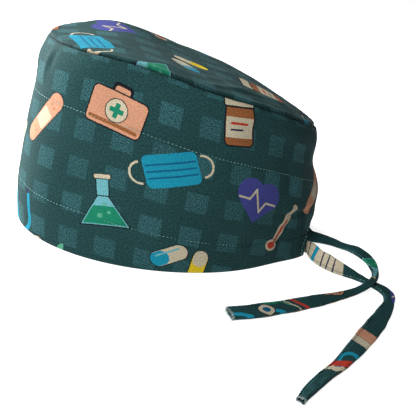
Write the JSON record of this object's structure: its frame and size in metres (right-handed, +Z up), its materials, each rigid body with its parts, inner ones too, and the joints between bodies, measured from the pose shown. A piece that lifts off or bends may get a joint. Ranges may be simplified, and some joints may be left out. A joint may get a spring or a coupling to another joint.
{
  "type": "surgical scrub cap",
  "caption": "Cotton surgical scrub cap standing on its rim: tall front, sloping domed top panel, stitched hem, arched back opening and loose flat ties, in teal check with a medical print.",
  "frame": {"origin": "middle of the cap's length and width, without the ties, on the surface that the rim stands on", "axes": "+Z up through the top panel, +Y towards the back opening and the ties, +X towards the wearer's left"},
  "size_m": [0.2929, 0.2726, 0.141],
  "materials": {
    "printed_cotton": "matt woven cotton, dark teal with lighter teal squares and a medical print"
  },
  "bodies": {
    "root": {"side_band": "printed_cotton", "hem_casing": "printed_cotton", "crown_top": "printed_cotton", "tie_left": "printed_cotton", "tie_right": "printed_cotton"}
  },
  "joints": []
}
